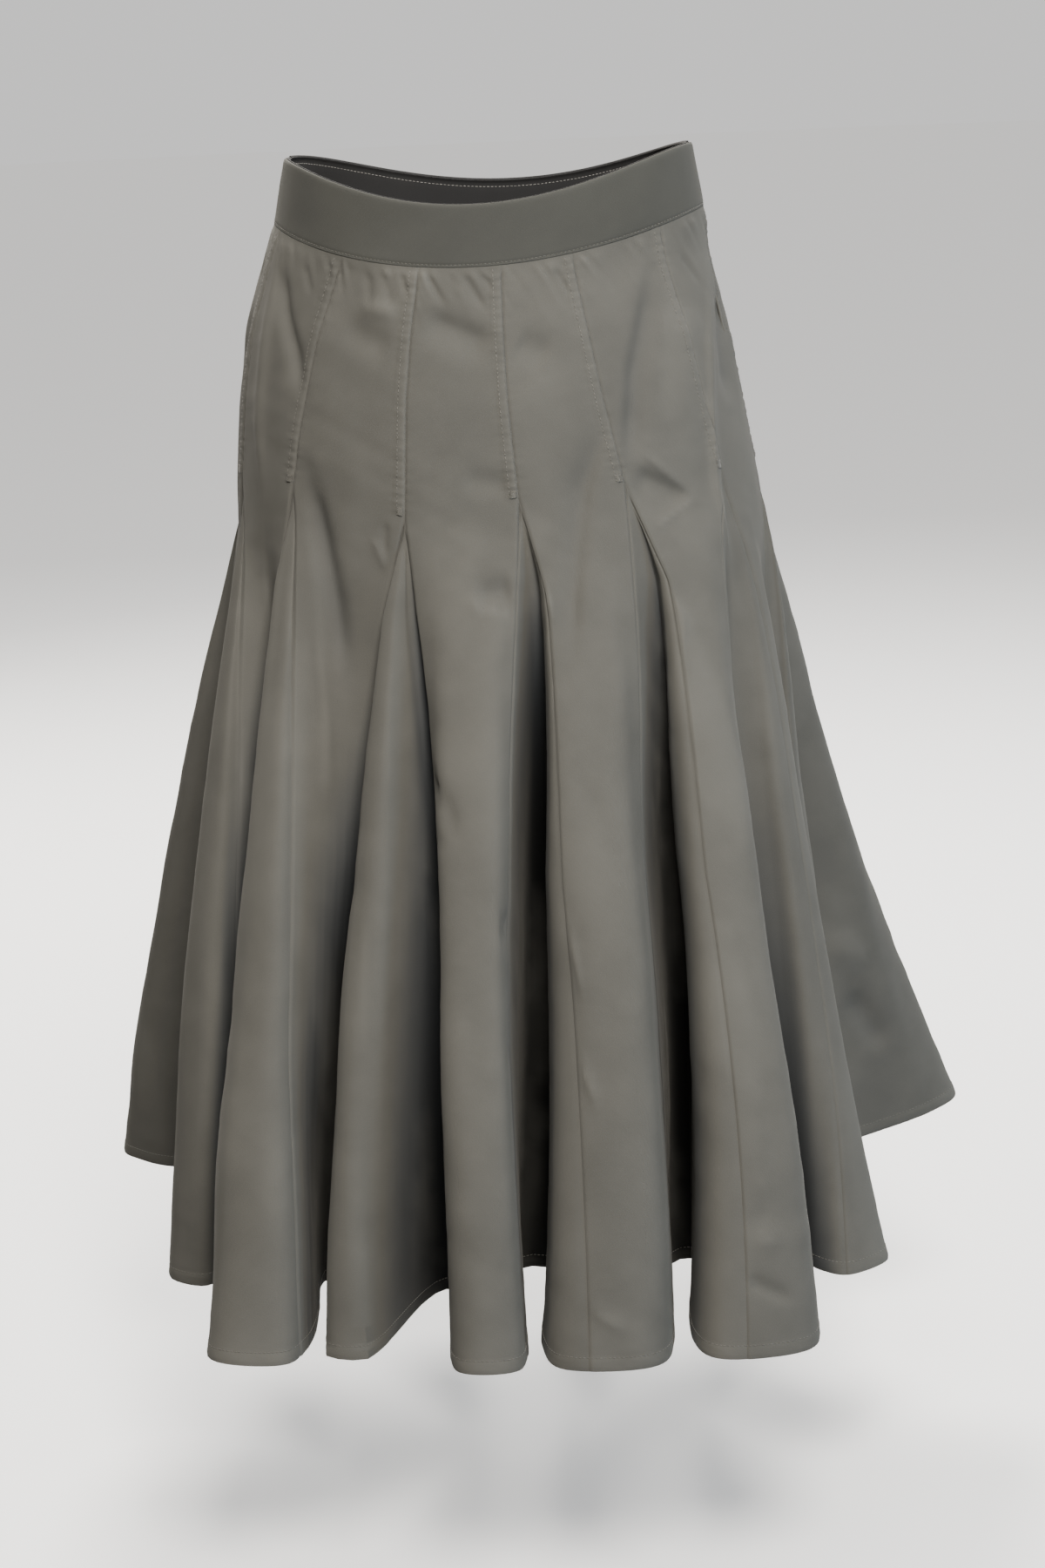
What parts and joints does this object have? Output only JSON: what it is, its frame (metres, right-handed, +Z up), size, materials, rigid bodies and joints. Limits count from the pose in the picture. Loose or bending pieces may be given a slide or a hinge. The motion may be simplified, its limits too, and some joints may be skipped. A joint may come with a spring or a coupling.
{
  "type": "maxi skirt",
  "caption": "Long gored skirt with a fitted waistband and a godet in every seam, open at waist and hem, folded into deep tubes.",
  "frame": {"origin": "middle of the waist ring, half way up the waistband at the side seams, where a waist holds the skirt up", "axes": "+Z up along the wearer, -Y to the front, +X to the wearer's left"},
  "size_m": [0.7296, 0.7022, 0.8663],
  "materials": {
    "cotton": "matte olive taupe cotton twill",
    "facing": "matte charcoal facing",
    "zip_tape": "matte woven tape with closed coil teeth",
    "zip_metal": "dull metal slider"
  },
  "bodies": {
    "root": {"waistband_front": "cotton", "waistband_back": "cotton", "gore_01": "cotton", "gore_02": "cotton", "gore_03": "cotton", "gore_04": "cotton", "gore_05": "cotton", "gore_06": "cotton", "gore_07": "cotton", "gore_08": "cotton", "gore_09": "cotton", "gore_10": "cotton", "gore_11": "cotton", "gore_12": "cotton", "gore_13": "cotton", "gore_14": "cotton", "godet_01": "cotton", "godet_02": "cotton", "godet_03": "cotton", "godet_04": "cotton", "godet_05": "cotton", "godet_06": "cotton", "godet_07": "cotton", "godet_08": "cotton", "godet_09": "cotton", "godet_10": "cotton", "godet_11": "cotton", "godet_12": "cotton", "godet_13": "cotton", "godet_14": "cotton", "facing_front": "facing", "facing_back": "facing", "zip": "zip_tape", "zip_slider": "zip_metal"}
  },
  "joints": []
}
